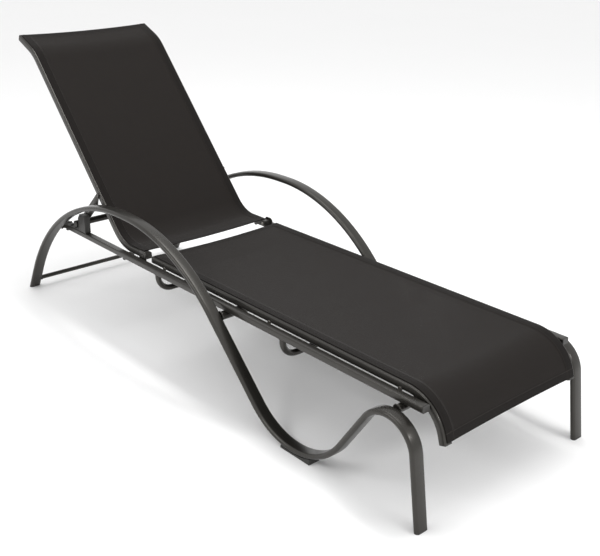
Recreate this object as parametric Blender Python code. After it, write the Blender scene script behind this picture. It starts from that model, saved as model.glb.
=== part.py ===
"""Reclining sun lounger: two bent side frames that carry the arms and legs, a seat frame with a
stretched fabric seat, and a fabric backrest held up by a prop that rests on two racks.

Metres, +Z up. +X points to the foot end and +Y to the left of someone lying on it. Every shape is
drawn in the foot frame: x = 0 is the front of the front feet, and the head end is at negative x.
The last step moves all of it so that the origin is on the floor under the middle of its box.
"""

import math

import bmesh
import bpy
from mathutils import Matrix, Vector

# ---------------------------------------------------------------- overall sizes
LEG_SPAN = 1.939            # front of the front feet to back of the rear feet
WIDTH = 0.660               # over both side frames
ARM_HEIGHT = 0.4486         # centre line of the arm at its top
SEAT_RAIL_HEIGHT = 0.3035   # centre line of the seat rails and of the backrest pivot
BASE_RAIL_HEIGHT = 0.287    # centre line of the base rails
PIVOT_FROM_FOOT = 1.246     # backrest pivot to the front of the front feet
BACK_LENGTH = 0.843         # back rail, from the lower bend's corner to its top end
BACK_ANGLE = math.radians(47.5)

# ---------------------------------------------------------------- tubes
CLEARANCE = 0.0003          # between pieces that touch
PAD_CLEARANCE = 0.0008      # under the trough, whose facets lie a little outside its curve
WALL = 0.0016               # of every tube
OVAL_WIDE = 0.039           # side frame tube, across the lounger
OVAL_THICK = 0.016          # side frame tube, in the plane it is bent in
BASE_RAIL_WIDE = 0.023
BASE_RAIL_THICK = 0.018
RAIL_WIDE = 0.025           # seat and back rails
RAIL_THICK = 0.021
RAIL_CORNER = 0.006
CROSSBAR = 0.022            # round crossbar at the front legs
REAR_CROSSBAR = 0.015       # low round crossbar between the rear legs
REAR_LINK = 0.013           # short bars from the base rails to the rear legs
ARM_CROSSBAR = 0.025
DROP_CROSSBAR = 0.018       # the two dropped crossbars under the seat
HEAD_CROSSBAR = 0.016       # bowed bar at the head of the backrest

# ---------------------------------------------------------------- side frame bends
REAR_LEG_ANGLE = math.radians(60.1)
ARM_REAR_BEND = 0.724
ARM_FRONT_BEND = 0.592
DESCENT_ANGLE = math.radians(44.9)
DESCENT_FROM_FOOT = 0.9765  # where the descent's line meets the arm's height
RISE_ANGLE = math.radians(55.3)
RISE_FROM_FOOT = 0.3453     # where the rise's line meets the floor
FRONT_LEG_ANGLE = math.radians(82.1)
HUMP_HEIGHT = 0.2633        # centre line of the hump over the front leg
MID_PAD = 0.005             # of the middle foot pad at its thinnest
PAD_TO_REAR = 0.042         # pad's ends from the lowest point of the trough
PAD_TO_FRONT = 0.072

# ---------------------------------------------------------------- places across the lounger
RAIL_GAP = 0.0045           # between a base rail and the seat rail beside it
BASE_RAIL_INSET = 0.011     # between a side frame and a base rail
SIDE_FRAME_Y = (WIDTH - OVAL_WIDE) / 2
FRAME_INNER_Y = WIDTH / 2 - OVAL_WIDE
BASE_RAIL_Y = FRAME_INNER_Y - BASE_RAIL_INSET - BASE_RAIL_WIDE / 2
BASE_INNER_Y = BASE_RAIL_Y - BASE_RAIL_WIDE / 2
RAIL_Y = BASE_INNER_Y - RAIL_GAP - RAIL_WIDE / 2
RAIL_OUTER_Y = RAIL_Y + RAIL_WIDE / 2
RAIL_INNER_Y = RAIL_Y - RAIL_WIDE / 2

# ---------------------------------------------------------------- places along the lounger
BASE_FRONT = 0.052          # base rail's front end from the foot
REAR_LINK_OVERHANG = 0.016  # base rail past the link to the rear leg
SEAT_GAP = 0.050            # backrest pivot to the rear end of the seat rails
STUD = 0.012                # studs between the seat rails and the base rails
STUDS = (("rear", 0.94), ("middle", 0.52), ("front", 0.12))  # shares of the seat's length
SEAT_FRONT_BEND = 0.112
SEAT_FRONT_ANGLE = math.radians(74)
SEAT_FRONT_DROP = 0.098     # seat rail's foot end below its centre line
FRONT_CROSSBAR_FROM_FOOT = 0.117
DROP_BARS_FROM_FOOT = (1.140, 0.550)
DROP_DEPTH = 0.062
DROP_BEND = 0.046
REAR_CROSSBAR_HEIGHT = 0.035

# ---------------------------------------------------------------- backrest and prop
BACK_LOWER_BEND = 0.125
BACK_CORNER_FROM_PIVOT = 0.1295
BACK_HEAD_ANGLE = math.radians(23)
BACK_HEAD_BEND = 0.135
BACK_HEAD_LENGTH = 0.100    # from the head bend's corner to the end
HEAD_BAR_FROM_END = 0.095   # along the back rail
HEAD_BAR_SUNK = 0.006       # head crossbar's ends behind the rails' centre line
HEAD_BOW = 0.058            # how far the head crossbar bows back
HEAD_BOW_ANGLE = math.radians(29)
PROP_ALONG_BACK = 0.184     # from the lower bend's corner up to the prop's pivot
PROP_LENGTH = 0.169
PROP_ANGLE = math.radians(45.2)
PROP_ROD = 0.022
PROP_ARM_WIDE = 0.019
PROP_ARM_FOOT = 0.032       # arm's round end about the rod
PROP_ARM_DEEP = 0.036       # front corner of the arm below its bolt
PROP_ARM_SET_BACK = 0.006   # front corner of the arm behind its bolt
BRACKET_THICK = 0.003       # pivot brackets and prop arms
BRACKET_LONG = 0.038        # pivot bracket along the rails
BRACKET_PROUD = 0.006       # pivot bracket above the rails
BRACKET_CHAMFER = 0.008
PROP_PIVOT_SUNK = 0.003     # prop's bolt behind the back rail's centre line
BOLT_SHANK = 0.006
BOLT_HEAD = 0.013
BOLT_HEAD_HIGH = 0.004
BOLT_FIT = 0.0004           # round a shank in its hole
HOLE_LONG = 0.05            # of every hole's cutter
ROD_CAP = 0.022             # caps on the rod's ends
ROD_CAP_HIGH = 0.004
TOOTH_PITCH = PROP_ROD + 0.007
TOOTH_DEEP = 0.004
TOOTH_SLOPE = 0.0015
STOP_CHAMFER = 0.004        # at the front of the racks' stop
STOP_LEAD_IN = (0.012, 0.016)  # slope at the rear of the stop, along and down
RACK_CLEARANCE = 0.0030     # round the rod, whose path isn't quite level
RACK_TEETH = 4
RACK_THICK = 0.0215
STOP_LONG = 0.045
STOP_ABOVE_ROD = 0.040
SLING_THICK = 0.003
SLING_RAISE = 0.0060        # middle of the fabric above the rails' centre line
SLING_INSET = 0.003         # fabric's edge from the end of the rails
BACK_SLING_LOW = 0.007      # lower edge of the back's fabric behind the pivot
PLUG_FACE = 0.003
PLUG_DEPTH = 0.014
PLUG_FIT = 0.0003
PLUG_EDGE = 0.0015          # rounding of a plug's face
FOOT_CAP = 0.004
PAD_INSET = 0.0015          # middle foot pad's sides inside the tube's
BUMPER = 0.013              # buttons under the base rails
BUMPER_HIGH = 0.009
BUMPER_BEHIND_PIVOT = 0.087

# ---------------------------------------------------------------- finishes: colour, roughness, metallic
FRAME_PAINT = ("graphite_paint", (0.085, 0.080, 0.074), 0.38, 0.55)
SLING_CLOTH = ("dark_mesh_fabric", (0.040, 0.035, 0.032), 0.75, 0.0)
PLUG_PLASTIC = ("dark_plastic", (0.045, 0.043, 0.040), 0.50, 0.0)
FOOT_RUBBER = ("foot_rubber", (0.030, 0.030, 0.030), 0.80, 0.0)
BOLT_METAL = ("dark_bolt_metal", (0.140, 0.132, 0.122), 0.35, 0.9)

ARC_STEP = math.radians(10)
ROUND_END_STEPS = 6
HEAD_BAR_STEPS = 14
PAD_STEPS = 10
X_AXIS = Vector((1, 0, 0))
Y_AXIS = Vector((0, 1, 0))
Z_AXIS = Vector((0, 0, 1))
SIDES = (("left", 1), ("right", -1))


# ---------------------------------------------------------------- general shapes
def material(finish):
    name, colour, roughness, metallic = finish
    made = bpy.data.materials.get(name)
    if made:
        return made
    made = bpy.data.materials.new(name)
    made.use_nodes = True
    made.diffuse_color = (*colour, 1)
    shader = made.node_tree.nodes["Principled BSDF"]
    shader.inputs["Base Color"].default_value = (*colour, 1)
    shader.inputs["Roughness"].default_value = roughness
    shader.inputs["Metallic"].default_value = metallic
    return made


def add_object(name, shape, finish, parent):
    """Turns a bmesh into a named object under its body's empty."""
    bmesh.ops.recalc_face_normals(shape, faces=shape.faces)
    mesh = bpy.data.meshes.new(name)
    shape.to_mesh(mesh)
    shape.free()
    mesh.shade_smooth()
    mesh.set_sharp_from_angle(angle=math.radians(35))
    mesh.materials.append(material(finish))
    obj = bpy.data.objects.new(name, mesh)
    bpy.context.scene.collection.objects.link(obj)
    obj.parent = parent
    obj.matrix_parent_inverse = Matrix.Translation(-parent.location)
    return obj


def oval_section(wide, thick, steps=6):
    """A flat oval: two half circles of the tube's thickness, joined by flats."""
    radius = thick / 2
    reach = wide / 2 - radius
    points = []
    for side in (1, -1):
        for i in range(steps + 1):
            turn = math.pi * (i / steps - 0.5)
            points.append((side * (reach + radius * math.cos(turn)), side * radius * math.sin(turn)))
    return points


def box_section(wide, thick, corner, steps=2):
    """A rectangle with round corners."""
    points = []
    for quarter, (a, b) in enumerate(((1, 1), (-1, 1), (-1, -1), (1, -1))):
        for i in range(steps + 1):
            turn = math.pi / 2 * (quarter + i / steps)
            points.append((a * (wide / 2 - corner) + corner * math.cos(turn),
                           b * (thick / 2 - corner) + corner * math.sin(turn)))
    return points


def round_section(diameter, steps=12):
    turns = [2 * math.pi * i / steps for i in range(steps)]
    return [(diameter / 2 * math.cos(t), diameter / 2 * math.sin(t)) for t in turns]


def frame_section(less=0):
    return oval_section(OVAL_WIDE - 2 * less, OVAL_THICK - 2 * less)


def rail_section(less=0):
    return box_section(RAIL_WIDE - 2 * less, RAIL_THICK - 2 * less, RAIL_CORNER - less)


def base_rail_section(less=0):
    return box_section(BASE_RAIL_WIDE - 2 * less, BASE_RAIL_THICK - 2 * less, RAIL_CORNER - less)


def bar_section(diameter):
    return lambda less=0: round_section(diameter - 2 * less)


def bent_path(corners, radii):
    """Straight runs through the corners, each corner rounded by an arc of its radius.

    Where the arcs at both ends of a run need more than its length, both shrink in the same share.
    """
    corners = [Vector(c) for c in corners]
    backs = [(a - b).normalized() for a, b in zip(corners, corners[1:])]
    turns = [backs[i].angle(backs[i + 1]) for i in range(len(radii))]
    cuts = [0, *(radius * math.tan(turn / 2) for radius, turn in zip(radii, turns)), 0]
    runs = [(b - a).length for a, b in zip(corners, corners[1:])]
    shares = [min(1, 0.98 * run / max(a + b, 1e-9)) for run, a, b in zip(runs, cuts, cuts[1:])]
    path = [corners[0]]
    for i, turn in enumerate(turns):
        cut = cuts[i + 1] * min(shares[i], shares[i + 1])
        radius = cut / math.tan(turn / 2)
        corner, back, on = corners[i + 1], backs[i], -backs[i + 1]
        centre = corner + (back + on).normalized() * (radius / math.cos(turn / 2))
        first = corner + back * cut - centre
        last = corner + on * cut - centre
        steps = max(1, math.ceil(turn / ARC_STEP))
        for step in range(steps + 1):
            path.append(centre + radius * first.slerp(last, step / steps))
    path.append(corners[-1])
    return path


def swept(name, path, side, section, finish, parent, wall=WALL, cut=None):
    """A tube: the section carried along a flat path. `side` is the direction out of the bend's plane.

    `section(less)` gives the outline made smaller by `less`; wall = 0 makes a solid bar. The ends are
    square to the path, or lie in the plane whose normal is `cut`.
    """
    shape = bmesh.new()
    layers = (0, wall) if wall else (0,)
    rings = [[] for _ in layers]
    for i, point in enumerate(path):
        before = (point - path[i - 1]).normalized() if i else (path[1] - point).normalized()
        after = (path[i + 1] - point).normalized() if i + 1 < len(path) else before
        along = (before + after).normalized()
        normal = side.cross(along).normalized()
        stretch = 1 / along.dot(after)
        slant = 0
        if cut and i in (0, len(path) - 1):
            slant = -normal.dot(cut) / along.dot(cut)
        across = normal * stretch + along * slant
        for ring, less in zip(rings, layers):
            ring.append([shape.verts.new(point + side * a + across * b) for a, b in section(less)])
    count = len(rings[0][0])
    for ring in rings:
        for one, two in zip(ring, ring[1:]):
            for j in range(count):
                shape.faces.new((one[j], one[(j + 1) % count], two[(j + 1) % count], two[j]))
    for end in (0, -1):
        if wall:
            outer, inner = rings[0][end], rings[1][end]
            for j in range(count):
                k = (j + 1) % count
                shape.faces.new((outer[j], outer[k], inner[k], inner[j]))
        else:
            shape.faces.new(rings[0][end])
    return add_object(name, shape, finish, parent)


def turned(name, place, axis, profile, finish, parent, steps=16):
    """A round piece: (radius, height) points from its first end to its last, turned about the axis."""
    shape = bmesh.new()
    axis = axis.normalized()
    u = axis.orthogonal().normalized()
    v = axis.cross(u)
    rings = []
    for radius, height in profile:
        turns = [2 * math.pi * i / steps for i in range(steps)]
        rings.append([shape.verts.new(place + axis * height + radius * (u * math.cos(t) + v * math.sin(t)))
                      for t in turns])
    for one, two in zip(rings, rings[1:]):
        for j in range(steps):
            shape.faces.new((one[j], one[(j + 1) % steps], two[(j + 1) % steps], two[j]))
    shape.faces.new(rings[0])
    shape.faces.new(rings[-1])
    return add_object(name, shape, finish, parent)


def plate(name, outline, y_low, y_high, finish, parent):
    """A flat piece: an outline of (x, z) points, from one y to another."""
    shape = bmesh.new()
    face = shape.faces.new([shape.verts.new((x, y_low, z)) for x, z in outline])
    grown = bmesh.ops.extrude_face_region(shape, geom=[face])
    moved = [v for v in grown["geom"] if isinstance(v, bmesh.types.BMVert)]
    bmesh.ops.translate(shape, verts=moved, vec=(0, y_high - y_low, 0))
    return add_object(name, shape, finish, parent)


def mirrored(side, y_inner, y_outer):
    """The low and high y of something between two distances from the middle, on one side."""
    return sorted((side * y_inner, side * y_outer))


def bore(target, name, place, axis, radius, length, parent):
    """Cuts a round hole through a piece with a hidden cutter."""
    half = length / 2
    cutter = turned(name, place, axis, [(radius, -half), (radius, half)], BOLT_METAL, parent, steps=16)
    cutter.hide_render = True
    cutter.display_type = "WIRE"
    cut = target.modifiers.new(name, "BOOLEAN")
    cut.object = cutter
    cut.operation = "DIFFERENCE"
    cut.solver = "EXACT"


def plug(name, end, outwards, side, section, finish, parent, face=PLUG_FACE):
    """An end plug: a face as large as the tube and a spigot that slides into it."""
    shape = bmesh.new()
    normal = side.cross(outwards).normalized()
    rings = []
    for less, height in ((WALL + PLUG_FIT, -PLUG_DEPTH), (WALL + PLUG_FIT, CLEARANCE), (0, CLEARANCE),
                         (0, face * 0.6), (PLUG_EDGE, face)):
        centre = end + outwards * height
        rings.append([shape.verts.new(centre + side * a + normal * b) for a, b in section(less)])
    count = len(rings[0])
    for one, two in zip(rings, rings[1:]):
        for j in range(count):
            shape.faces.new((one[j], one[(j + 1) % count], two[(j + 1) % count], two[j]))
    shape.faces.new(rings[0])
    shape.faces.new(rings[-1])
    return add_object(name, shape, finish, parent)


def empty(name, place, parent=None):
    made = bpy.data.objects.new(name, None)
    bpy.context.scene.collection.objects.link(made)
    made.empty_display_size = 0.05
    made.location = place
    if parent:
        made.parent = parent
        made.matrix_parent_inverse = Matrix.Translation(-parent.location)
    return made


# ---------------------------------------------------------------- outlines in the side view
def side_frame_corners():
    """Corner points of the side frame's straight runs, from the rear foot to the front foot."""
    rear_x = -LEG_SPAN + OVAL_THICK / 2 / math.sin(REAR_LEG_ANGLE)
    front_x = -OVAL_THICK / 2 / math.sin(FRONT_LEG_ANGLE)
    arm_rear = (rear_x + ARM_HEIGHT / math.tan(REAR_LEG_ANGLE), ARM_HEIGHT)
    arm_front = (-DESCENT_FROM_FOOT, ARM_HEIGHT)
    fall = math.tan(DESCENT_ANGLE)
    rise = math.tan(RISE_ANGLE)
    trough_x = (ARM_HEIGHT + fall * arm_front[0] + rise * -RISE_FROM_FOOT) / (fall + rise)
    trough = (trough_x, rise * (trough_x + RISE_FROM_FOOT))
    lean = math.tan(FRONT_LEG_ANGLE)
    hump_x = (rise * RISE_FROM_FOOT - lean * -front_x) / (-lean - rise)
    hump = (hump_x, rise * (hump_x + RISE_FROM_FOOT))
    return [(rear_x, 0), arm_rear, arm_front, trough, hump, (front_x, 0)]


def bend_to_height(corner, before, after, height):
    """The radius of the bend at a corner whose lowest or highest point is at a height."""
    corner, before, after = Vector(corner), Vector(before), Vector(after)
    back = (before - corner).normalized()
    on = (after - corner).normalized()
    middle = (back + on).normalized()
    sine = math.sin(back.angle(on) / 2)
    upwards = 1 if middle.y > 0 else -1
    return (height - corner.y) / (middle.y / sine - upwards)


def in_plane(points, y):
    return [Vector((p[0], y, p[1])) for p in points]


def side_frame_path():
    corners = side_frame_corners()
    trough_height = MID_PAD + OVAL_THICK / 2
    radii = (
        ARM_REAR_BEND,
        ARM_FRONT_BEND,
        bend_to_height(corners[3], corners[2], corners[4], trough_height),
        bend_to_height(corners[4], corners[3], corners[5], HUMP_HEIGHT),
    )
    return bent_path(corners, radii)


def seat_path():
    """Seat rail's centre line, from its rear end to its foot end."""
    rear = (-PIVOT_FROM_FOOT + SEAT_GAP, SEAT_RAIL_HEIGHT)
    end_x = -RAIL_THICK / 2 / math.sin(SEAT_FRONT_ANGLE)
    end = (end_x, SEAT_RAIL_HEIGHT - SEAT_FRONT_DROP)
    corner = (end_x - SEAT_FRONT_DROP / math.tan(SEAT_FRONT_ANGLE), SEAT_RAIL_HEIGHT)
    return bent_path([rear, corner, end], [SEAT_FRONT_BEND])


def back_path():
    """Back rail's centre line, from the pivot to the head end."""
    pivot = Vector((-PIVOT_FROM_FOOT, SEAT_RAIL_HEIGHT))
    corner = pivot + Vector((-BACK_CORNER_FROM_PIVOT, 0))
    straight = BACK_LENGTH - BACK_HEAD_LENGTH
    head = corner + straight * Vector((-math.cos(BACK_ANGLE), math.sin(BACK_ANGLE)))
    end = head + BACK_HEAD_LENGTH * Vector((-math.cos(BACK_HEAD_ANGLE), math.sin(BACK_HEAD_ANGLE)))
    tail = pivot + Vector((RAIL_THICK / 2, 0))
    return bent_path([tail, corner, head, end], [BACK_LOWER_BEND, BACK_HEAD_BEND])


def offset_path(path, distance):
    """The same line moved towards the side that a person lies on."""
    moved = []
    for i, point in enumerate(path):
        before = path[max(i - 1, 0)]
        after = path[min(i + 1, len(path) - 1)]
        along = (after - before).normalized()
        normal = Vector((-along.y, along.x))
        if normal.y < 0:
            normal = -normal
        moved.append(point + normal * distance)
    return moved


def shortened(path, first, last):
    """The same line, with a length taken off each end."""
    path = list(path)
    for taken in (first, last):
        while (path[1] - path[0]).length < taken:
            taken -= (path[1] - path[0]).length
            path.pop(0)
        path[0] = path[0] + (path[1] - path[0]).normalized() * taken
        path.reverse()
    return path


def direction(path, end):
    """Which way a path leaves at its first (0) or last (-1) point, outwards."""
    step = path[0] - path[1] if end == 0 else path[-1] - path[-2]
    return Vector((step.x, 0, step.y)).normalized()


def height_crossing(path, height):
    """x where the side frame's rear leg passes a height."""
    for one, two in zip(path, path[1:]):
        if one.y <= height <= two.y:
            return one.x + (two.x - one.x) * (height - one.y) / (two.y - one.y)
    return path[0].x


# ---------------------------------------------------------------- fixed frame
def side_frames(body):
    path = side_frame_path()
    lowest = FOOT_CAP + CLEARANCE
    tube = trim_feet(path, lowest)
    for label, side in SIDES:
        y = side * SIDE_FRAME_Y
        swept(f"side_frame_{label}", in_plane(tube, y), Y_AXIS, frame_section, FRAME_PAINT, body, cut=Z_AXIS)
        foot_cap(f"rear_foot_cap_{label}", path[0], path[1], y, body)
        foot_cap(f"front_foot_cap_{label}", path[-1], path[-2], y, body)
        mid_foot_pad(f"mid_foot_pad_{label}", path, y, body)


def trim_feet(path, height):
    """Cuts both ends of the side frame's line at a height over the floor."""
    trimmed = list(path)
    for end, beside in ((0, 1), (-1, -2)):
        run = trimmed[beside] - trimmed[end]
        trimmed[end] = trimmed[end] + run * (height / run.y)
    return trimmed


def foot_cap(name, floor_point, above, y, body):
    """A flat cap under a leg's cut end, with a spigot up into the tube."""
    up = (above - floor_point).normalized()
    shape = bmesh.new()
    rings = []
    spigot = WALL + PLUG_FIT
    for less, z in ((spigot, PLUG_DEPTH + FOOT_CAP), (spigot, FOOT_CAP), (0, FOOT_CAP), (0, 0)):
        x = floor_point.x + up.x * z / up.y
        rings.append([shape.verts.new((x + b / up.y, y + a, z)) for a, b in frame_section(less)])
    count = len(rings[0])
    for one, two in zip(rings, rings[1:]):
        for j in range(count):
            shape.faces.new((one[j], one[(j + 1) % count], two[(j + 1) % count], two[j]))
    shape.faces.new(rings[0])
    shape.faces.new(rings[-1])
    add_object(name, shape, FOOT_RUBBER, body)


def mid_foot_pad(name, path, y, body):
    """A wedge between the floor and the round bottom of the trough."""
    trough = [p for p in path if -DESCENT_FROM_FOOT < p.x < -RISE_FROM_FOOT]
    lowest = min(trough, key=lambda p: p.y)
    upper = []
    for i in range(PAD_STEPS + 1):
        x = lowest.x - PAD_TO_REAR + (PAD_TO_REAR + PAD_TO_FRONT) * i / PAD_STEPS
        upper.append((x, underside(path, x) - PAD_CLEARANCE))
    outline = [(upper[0][0], 0), *upper, (upper[-1][0], 0)]
    half = OVAL_WIDE / 2 - PAD_INSET
    plate(name, outline, y - half, y + half, FOOT_RUBBER, body)


def underside(path, x):
    """Height of the side frame tube's lower surface at x, along the trough."""
    best = None
    for one, two in zip(path, path[1:]):
        if one.x <= x <= two.x and one.y < ARM_HEIGHT / 2:
            run = (two - one).normalized()
            height = one.y + (two.y - one.y) * (x - one.x) / (two.x - one.x)
            best = height - OVAL_THICK / 2 / run.x
    return best


def base_rails(body):
    path = side_frame_path()
    link_x = height_crossing(path, BASE_RAIL_HEIGHT)
    rear_x = link_x - REAR_LINK_OVERHANG
    front_x = -BASE_FRONT
    for label, side in SIDES:
        y = side * BASE_RAIL_Y
        ends = [Vector((rear_x, y, BASE_RAIL_HEIGHT)), Vector((front_x, y, BASE_RAIL_HEIGHT))]
        swept(f"base_rail_{label}", ends, Y_AXIS, base_rail_section, FRAME_PAINT, body)
        plug(f"base_rail_rear_plug_{label}", ends[0], -X_AXIS, Y_AXIS, base_rail_section, PLUG_PLASTIC, body)
        plug(f"base_rail_front_plug_{label}", ends[1], X_AXIS, Y_AXIS, base_rail_section, PLUG_PLASTIC, body)
        inner = BASE_RAIL_Y + BASE_RAIL_WIDE / 2 + CLEARANCE
        outer = FRAME_INNER_Y - CLEARANCE
        link = [Vector((link_x, side * reach, BASE_RAIL_HEIGHT)) for reach in (inner, outer)]
        swept(f"rear_link_{label}", link, X_AXIS, bar_section(REAR_LINK), FRAME_PAINT, body, wall=0)


def crossbar(name, x, z, reach, diameter, body):
    """A straight round tube across the lounger."""
    ends = [Vector((x, -reach, z)), Vector((x, reach, z))]
    swept(name, ends, X_AXIS, bar_section(diameter), FRAME_PAINT, body)


def crossbars(body):
    path = side_frame_path()
    to_frame = FRAME_INNER_Y - CLEARANCE
    under_rails = BASE_RAIL_HEIGHT - BASE_RAIL_THICK / 2 - CLEARANCE
    rear_x = height_crossing(path, REAR_CROSSBAR_HEIGHT)
    crossbar("rear_low_crossbar", rear_x, REAR_CROSSBAR_HEIGHT, to_frame, REAR_CROSSBAR, body)
    arm_z = under_rails - ARM_CROSSBAR / 2
    arm_x = -DESCENT_FROM_FOOT + (ARM_HEIGHT - arm_z) / math.tan(DESCENT_ANGLE)
    crossbar("arm_crossbar", arm_x, arm_z, to_frame, ARM_CROSSBAR, body)
    front_z = under_rails - CROSSBAR / 2
    crossbar("front_crossbar", -FRONT_CROSSBAR_FROM_FOOT, front_z, to_frame, CROSSBAR, body)
    for label, from_foot in zip(("rear", "front"), DROP_BARS_FROM_FOOT):
        top = under_rails
        low = top - DROP_DEPTH + DROP_CROSSBAR / 2
        y = BASE_RAIL_Y
        corners = [(-y, top), (-y, low), (y, low), (y, top)]
        flat = bent_path(corners, [DROP_BEND, DROP_BEND])
        line = [Vector((-from_foot, p.x, p.y)) for p in flat]
        swept(f"dropped_crossbar_{label}", line, X_AXIS, bar_section(DROP_CROSSBAR), FRAME_PAINT, body)


def seat(body):
    path = seat_path()
    for label, side in SIDES:
        line = in_plane(path, side * RAIL_Y)
        swept(f"seat_rail_{label}", line, Y_AXIS, rail_section, FRAME_PAINT, body)
        for place, end in (("rear", 0), ("foot", -1)):
            name = f"seat_rail_{place}_plug_{label}"
            plug(name, line[end], direction(path, end), Y_AXIS, rail_section, PLUG_PLASTIC, body)
    sling("seat_sling", shortened(path, SLING_INSET, SLING_INSET), body)
    seat_spacers(body)


def seat_spacers(body):
    """Short studs that hold each seat rail to the base rail beside it."""
    low = RAIL_OUTER_Y + CLEARANCE
    high = BASE_INNER_Y - CLEARANCE
    z = (SEAT_RAIL_HEIGHT + BASE_RAIL_HEIGHT) / 2
    run = PIVOT_FROM_FOOT - SEAT_GAP
    for place, share in STUDS:
        for label, side in SIDES:
            start = Vector((-run * share, side * low, z))
            turned(f"seat_stud_{place}_{label}", start, Y_AXIS * side,
                   [(STUD / 2, 0), (STUD / 2, high - low)], BOLT_METAL, body, steps=12)


def sling(name, path, body):
    """The stretched fabric between two rails, a plain sheet of its real thickness."""
    line = in_plane(offset_path(path, SLING_RAISE), 0)
    half = RAIL_INNER_Y - CLEARANCE
    low, high = -SLING_THICK / 2, SLING_THICK / 2
    section = [(-half, low), (half, low), (half, high), (-half, high)]
    swept(name, line, Y_AXIS, lambda less=0: section, SLING_CLOTH, body, wall=0)


def bumpers(body):
    """Small rubber buttons under the base rails, which keep stacked loungers apart."""
    path = side_frame_path()
    rear = -height_crossing(path, BASE_RAIL_HEIGHT)
    top = BASE_RAIL_HEIGHT - BASE_RAIL_THICK / 2 - CLEARANCE
    radius = BUMPER / 2
    for place, from_foot in (("rear", rear), ("middle", PIVOT_FROM_FOOT + BUMPER_BEHIND_PIVOT)):
        for label, side in SIDES:
            start = Vector((-from_foot, side * BASE_RAIL_Y, top))
            turned(f"rail_bumper_{place}_{label}", start, -Z_AXIS,
                   [(radius, 0), (radius, BUMPER_HIGH * 0.65), (radius * 0.7, BUMPER_HIGH)],
                   FOOT_RUBBER, body, steps=12)


def gap_plate(side):
    """Low and high y of a plate in the middle of the gap between the rails, on one side."""
    play = (RAIL_GAP - BRACKET_THICK) / 2
    return mirrored(side, RAIL_OUTER_Y + play, RAIL_OUTER_Y + play + BRACKET_THICK)


def racks(body):
    """Toothed blocks on the base rails, on which the prop's rod rests, with a tall stop in front."""
    rod = rod_place()
    bottom = BASE_RAIL_HEIGHT + BASE_RAIL_THICK / 2 + CLEARANCE
    crest = rod.y - PROP_ROD / 2 - RACK_CLEARANCE
    valley = crest - TOOTH_DEEP
    stop_rear = rod.x + PROP_ROD / 2 + RACK_CLEARANCE
    stop_front = stop_rear + STOP_LONG
    stop_top = rod.y + STOP_ABOVE_ROD
    outline = [(stop_front, bottom), (stop_front, stop_top - STOP_CHAMFER),
               (stop_front - STOP_CHAMFER, stop_top), (stop_rear + STOP_LEAD_IN[0], stop_top),
               (stop_rear, stop_top - STOP_LEAD_IN[1]), (stop_rear, valley)]
    for i in range(RACK_TEETH):
        centre = rod.x - TOOTH_PITCH * i
        if i:
            outline.append((centre + PROP_ROD / 2, valley))
        outline.append((centre - PROP_ROD / 2, valley))
        outline.append((centre - PROP_ROD / 2 - TOOTH_SLOPE, crest))
        outline.append((centre - TOOTH_PITCH + PROP_ROD / 2 + TOOTH_SLOPE, crest))
    outline.append((outline[-1][0], bottom))
    for label, side in SIDES:
        y_low, y_high = mirrored(side, BASE_RAIL_Y - RACK_THICK / 2, BASE_RAIL_Y + RACK_THICK / 2)
        plate(f"rack_{label}", outline, y_low, y_high, PLUG_PLASTIC, body)


def pivot_brackets(body):
    """Plates between the base rails and the back rails that carry the pivot bolts."""
    low = BASE_RAIL_HEIGHT - BASE_RAIL_THICK / 2
    high = SEAT_RAIL_HEIGHT + RAIL_THICK / 2 + BRACKET_PROUD
    half = BRACKET_LONG / 2
    cut = BRACKET_CHAMFER
    x = -PIVOT_FROM_FOOT
    outline = [(x - half, low), (x + half, low), (x + half, high - cut), (x + half - cut, high),
               (x - half + cut, high), (x - half, high - cut)]
    for label, side in SIDES:
        bracket = plate(f"pivot_bracket_{label}", outline, *gap_plate(side), FRAME_PAINT, body)
        middle = Vector((x, side * (RAIL_OUTER_Y + RAIL_GAP / 2), SEAT_RAIL_HEIGHT))
        bore(bracket, f"bracket_hole_{label}", middle, Y_AXIS, BOLT_SHANK / 2 + BOLT_FIT, HOLE_LONG, body)
        start = Vector((x, side * (BASE_INNER_Y - CLEARANCE), SEAT_RAIL_HEIGHT))
        long = BASE_INNER_Y - CLEARANCE - RAIL_INNER_Y + CLEARANCE
        bolt(f"pivot_bolt_{label}", start, -Y_AXIS * side, long, body)


def bolt(name, tip, towards_head, shank_long, body):
    """A shank with a low domed head; the tip is its first point."""
    radius = BOLT_HEAD / 2
    turned(name, tip, towards_head,
           [(BOLT_SHANK / 2, 0), (BOLT_SHANK / 2, shank_long), (radius, shank_long),
            (radius, shank_long + BOLT_HEAD_HIGH * 0.5), (radius * 0.6, shank_long + BOLT_HEAD_HIGH)],
           BOLT_METAL, body, steps=12)


# ---------------------------------------------------------------- backrest
def prop_pivot():
    """Where the prop hangs on the back rails, in the side view."""
    corner = Vector((-PIVOT_FROM_FOOT - BACK_CORNER_FROM_PIVOT, SEAT_RAIL_HEIGHT))
    along = Vector((-math.cos(BACK_ANGLE), math.sin(BACK_ANGLE)))
    return corner + PROP_ALONG_BACK * along - PROP_PIVOT_SUNK * Vector((along.y, -along.x))


def rod_place():
    """Where the prop's rod rests on the racks, in the side view."""
    return prop_pivot() + PROP_LENGTH * Vector((-math.cos(PROP_ANGLE), -math.sin(PROP_ANGLE)))


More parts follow.
